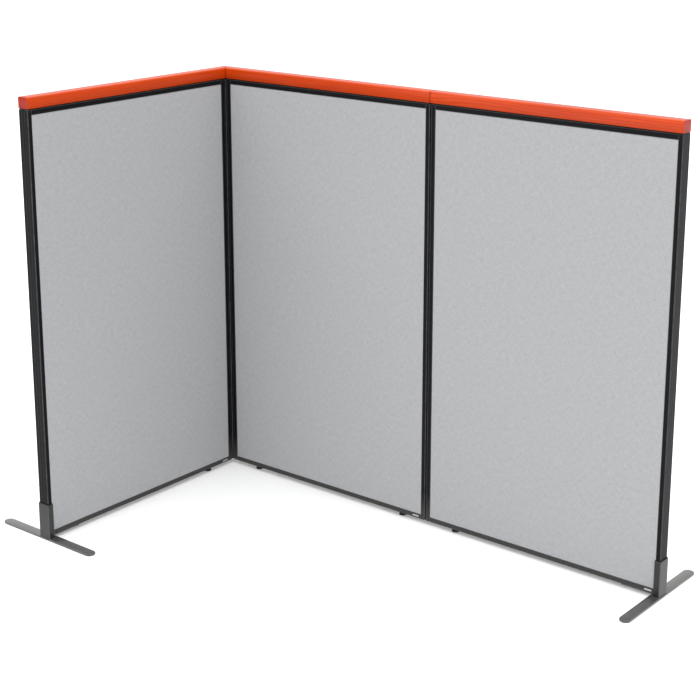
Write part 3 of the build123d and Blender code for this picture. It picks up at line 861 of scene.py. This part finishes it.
def weld_piece(prefix, run):
    """Run of weld round the sleeve's foot: a quarter circle that rises as it draws in."""
    foot_top = box_of(prefix + "_bar")[1][2] - 0.1 * MM
    turn = np.linspace(0, np.pi / 2, 5)
    heights = foot_top + (WELD_SIZE + 0.3 * MM) * np.sin(turn)
    insets = WELD_SIZE * (1 - np.cos(turn))
    rings = (heights, insets, np.zeros(len(turn)))
    weld = prism(prefix + "_weld", sleeve_outline(prefix, run, WELD_SIZE), rings, "Z", sleeve_paint)


def stadium(low, high, axis):
    """Long outline with a half circle at each end: cosines and sines of an angle about each end's
    centre."""
    half = (high[1 - axis] - low[1 - axis]) / 2
    turn = np.linspace(-np.pi / 2, np.pi / 2, 25)
    reach = (high[axis] - low[axis]) / 2 - half
    right = np.stack([reach + half * np.cos(turn), half * np.sin(turn)], axis=1)
    straight = np.linspace(0.96, -0.96, 8)[:, None] * np.array([[reach, 0]])
    upper = straight + [0, half]
    lower = -straight - [0, half]
    shape = np.concatenate([right, upper, -right, lower])
    if axis == 1:
        shape = shape[:, ::-1] * [1, -1]
    centre = ((low + high) / 2)[:2]
    return shape + centre, np.zeros(len(shape))


def sleeve_outline(prefix, run, swell_by):
    """U-shaped outline: a back plate at the panel's free end and two flanges along the run. Its
    outer side is moved outwards by swell_by and its inner side stays where it is."""
    low, high = box_of(prefix + "_sleeve")
    across = 1 - run
    closed_high = prefix == "far_foot"
    back, tip = (high[run], low[run]) if closed_high else (low[run], high[run])
    sign = 1 if closed_high else -1
    inner_back = back - sign * SLEEVE_WALL
    inner_near, inner_far = low[across] + SLEEVE_WALL, high[across] - SLEEVE_WALL
    back, tip = back + sign * swell_by, tip - sign * swell_by * 0.3
    near, far = low[across] - swell_by, high[across] + swell_by
    pairs = [(tip, near), (back, near), (back, far), (tip, far), (tip, inner_far),
             (inner_back, inner_far), (inner_back, inner_near), (tip, inner_near)]
    corners = [(a, b) if run == 0 else (b, a) for a, b in pairs]
    radii = np.array([0.7, 2.4, 2.4, 0.7, 0.5, 0.3, 0.3, 0.5]) * MM
    return outline_of(corners, radii)


for prefix, bar_axis in (("far_foot", 1), ("return_foot", 0)):
    foot_bar_piece(prefix, bar_axis)
    sleeve_piece(prefix, 1 - bar_axis)
    # The black lip on each sleeve is a painted shadow.
    shadow_lip_piece(prefix, 1 - bar_axis)
    weld_piece(prefix, 1 - bar_axis)
print("feet made")


# %% [markdown]
# ## Glide pads
# A glide pad is a small nylon turning: a foot with a soft lower rim, a waist and a socket for the
# stud. It is a profile spun about the pad's own upright axis, so every ring of points is the
# profile's radius times the cosine and sine of an angle. Ten shallow flutes give a finger grip.

# %% Glide pads
SOCKET_RADIUS = 4.2 * MM
SOCKET_DEPTH = 2.8 * MM
FLUTE_COUNT = 10
FLUTE_DEPTH = 0.35 * MM
RIM_BAND = 0.5 * MM


def glide_pad_piece(number):
    """Nylon pad spun about its axis, with shallow flutes round the rim."""
    node = f"glide_pad_{number}"
    low, high = box_of(node)
    centre = (low + high) / 2
    radius = (high[0] - low[0]) / 2
    tall = high[2] - low[2]
    profile = np.array([[0.0, 0.0], [radius - 1.2 * MM, 0.0], [radius - 0.4 * MM, 0.25 * MM],
                        [radius, 1.0 * MM], [radius, 4.2 * MM], [radius - 0.3 * MM, 4.9 * MM],
                        [radius - 2.4 * MM, tall - 1.3 * MM], [radius - 3.1 * MM, tall - 0.3 * MM],
                        [radius - 3.8 * MM, tall], [SOCKET_RADIUS + 0.3 * MM, tall],
                        [SOCKET_RADIUS, tall - 0.3 * MM],
                        [SOCKET_RADIUS, tall - SOCKET_DEPTH], [0.0, tall - SOCKET_DEPTH]])
    turn = np.linspace(0, 2 * np.pi, 81)
    on_rim = profile[:, 0] > radius - RIM_BAND
    flutes = FLUTE_DEPTH * (0.5 - 0.5 * np.cos(FLUTE_COUNT * turn))
    fluted = on_rim[:, None] * flutes[None, :]
    reach = profile[:, :1] - fluted
    points = np.stack([centre[0] + reach * np.cos(turn), centre[1] + reach * np.sin(turn),
                       low[2] + profile[:, 1:] + 0 * turn], axis=-1).reshape(-1, 3)
    near_rim = np.repeat(on_rim.astype(np.float32), len(turn))
    pad = make_piece(node + "_turned", points, grid_quads(len(profile), len(turn)), glide_nylon,
                     body=f"glide_{number}", extra={"edge": near_rim})
    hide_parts(node)


for number in (1, 2, 3, 4):
    glide_pad_piece(number)
print("four glide pads turned")


# %% [markdown]
# ## Blank plates
# Each bottom rail carries a small plate near its right-hand end. It is left blank here: a satin
# field, a hair lower than the dark rim round it. The plate is an outline whose rings first rise
# up its edge, then step in and down to the field.

# %% Plates
PLATE_CORNER = 1.2 * MM
PLATE_RIM = 0.8 * MM


def plate_piece(panel):
    """Thin plate with a raised dark rim and a blank field."""
    node = f"{panel}_nameplate"
    low, high = box_of(node)
    deep = 0 if panel == "return_panel" else 1
    thick = high[deep] - low[deep]
    back, front = (low[0], high[0]) if deep == 0 else (high[1], low[1])
    sign = np.sign(front - back)
    steps = np.array([0.0, 0.55, 0.8, 0.95, 1.0, 1.0, 0.80, 0.80]) * thick
    insets = np.array([0.0, 0.0, 0.06, 0.16, 0.30, 0.75, 0.85, 1.05]) * MM
    if deep == 0:
        corners = [(low[1], low[2]), (high[1], low[2]), (high[1], high[2]), (low[1], high[2])]
        axis = "X"
    else:
        corners = [(low[2], low[0]), (low[2], high[0]), (high[2], high[0]), (high[2], low[0])]
        axis = "Y"
    rings = (back + sign * steps, insets, np.zeros(len(steps)))
    piece = prism(node + "_blank", outline_of(corners, [PLATE_CORNER] * 4), rings, axis, plate_metal)
    count = len(piece.data.vertices) // len(steps)
    rim = np.repeat((insets < PLATE_RIM).astype(np.float32), count)
    piece.data.attributes.new("rim", "FLOAT", "POINT").data.foreach_set("value", rim)
    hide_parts(node)


for panel in PANELS:
    plate_piece(panel)
print("three blank plates made")


# %% [markdown]
# ## Finishes on the CAD pieces that stay
# The strips, cap rails, tongues, studs, nuts, screws, brackets and boards already have their true
# shape. They keep their mesh and get the finish of their material slot.

# %% Dress the remaining CAD nodes
FINISHES = {"frame_paint": frame_paint, "black_rail": black_rail, "board": board_felt, "cloth": cloth,
            "cherry_wood": wood, "plate_metal": plate_metal, "joint_plastic": joint_plastic,
            "foot_paint": foot_paint, "glide_nylon": glide_nylon, "zinc_steel": zinc,
            "bracket_metal": bracket_metal}
slot_of = {part["node"]: part["material_slot"] for part in frame["record"]["subparts"]}
for name, node in frame["nodes"].items():
    finish = FINISHES[slot_of[name]]
    for material_slot in node.material_slots:
        material_slot.material = finish
kept = sorted(name for name, node in frame["nodes"].items() if not node.hide_render)
print(len(kept), "CAD nodes keep their mesh")


# %% [markdown]
# ## Floor and light
# The wall stands on a plain pale floor that runs out of sight. One very broad light from above,
# leaning a little to the open side of the L, keeps the floor bright and throws only a faint
# shadow under the rails. Light thrown back by the floor brightens the lower rails and the cloth.

# %% Stage and lights
FLOOR_HALF = 60.0
FLOOR_DROP = 0.5 * MM
floor_mesh = bpy.data.meshes.new("pale_floor")
floor_corners = [(x * FLOOR_HALF, y * FLOOR_HALF, -FLOOR_DROP)
                 for x, y in ((-1, -1), (1, -1), (1, 1), (-1, 1))]
floor_mesh.from_pydata(floor_corners, [], [(0, 1, 2, 3)])
floor = bpy.data.objects.new("pale_floor", floor_mesh)
bpy.context.scene.collection.objects.link(floor)
floor_paint, tree, shader = new_material("pale_floor_paint", Roughness=0.6, Specular_IOR_Level=0.2,
                                         Emission_Color=(1, 1, 1, 1), Emission_Strength=0.12)
spot = add(tree, "ShaderNodeTexCoord").outputs["Object"]
floor_tone = ramp(tree, noise(tree, spot, 0.7, 3.0),
                  [(0.3, (0.90, 0.90, 0.90)), (0.7, (0.93, 0.93, 0.93))])
tree.links.new(floor_tone, shader.inputs["Base Color"])
floor_mesh.materials.append(floor_paint)

world = bpy.data.worlds.new("soft_studio")
bpy.context.scene.world = world
world.use_nodes = True
sky = world.node_tree
path = add(sky, "ShaderNodeLightPath").outputs
seen = maths(sky, "MAXIMUM", path["Is Camera Ray"], path["Is Glossy Ray"])
glow = maths(sky, "MULTIPLY_ADD", seen, 0.25, 0.80)
sky.links.new(glow, sky.nodes["Background"].inputs["Strength"])
sky.nodes["Background"].inputs["Color"].default_value = (1, 1, 1, 1)


def soft_sun(name, strength, spread, tilt, turn):
    """Broad sun: tilt from straight down and turn about the upright, in degrees."""
    data = bpy.data.lights.new(name, "SUN")
    data.energy = strength
    data.angle = math.radians(spread)
    lamp = bpy.data.objects.new(name, data)
    lamp.rotation_euler = (math.radians(tilt), 0, math.radians(turn))
    bpy.context.scene.collection.objects.link(lamp)


soft_sun("overhead_light", 3.0, 110, 14, 25)
bpy.context.scene.view_settings.view_transform = "Standard"
print("floor and light set")


# %% [markdown]
# ## Camera
# The camera stands a few metres out on the open side of the corner, a little above the wall, with a
# long lens. Its shift is small, so the other views stay well framed.

# %% Camera
CAMERA_PLACE = (3.1769, -3.8488, 2.3187)
CAMERA_TURN = 39.01
CAMERA_LOOKS_DOWN = 14.82
camera_data = bpy.data.cameras.new("camera")
camera_data.lens = 81.09
camera_data.sensor_width = 36.0
camera_data.shift_y = -0.12
camera = bpy.data.objects.new("camera", camera_data)
camera.location = CAMERA_PLACE
camera.rotation_euler = (math.radians(90 - CAMERA_LOOKS_DOWN), 0, math.radians(CAMERA_TURN))
bpy.context.scene.collection.objects.link(camera)
bpy.context.scene.camera = camera
print("camera", CAMERA_PLACE, "lens", camera_data.lens)
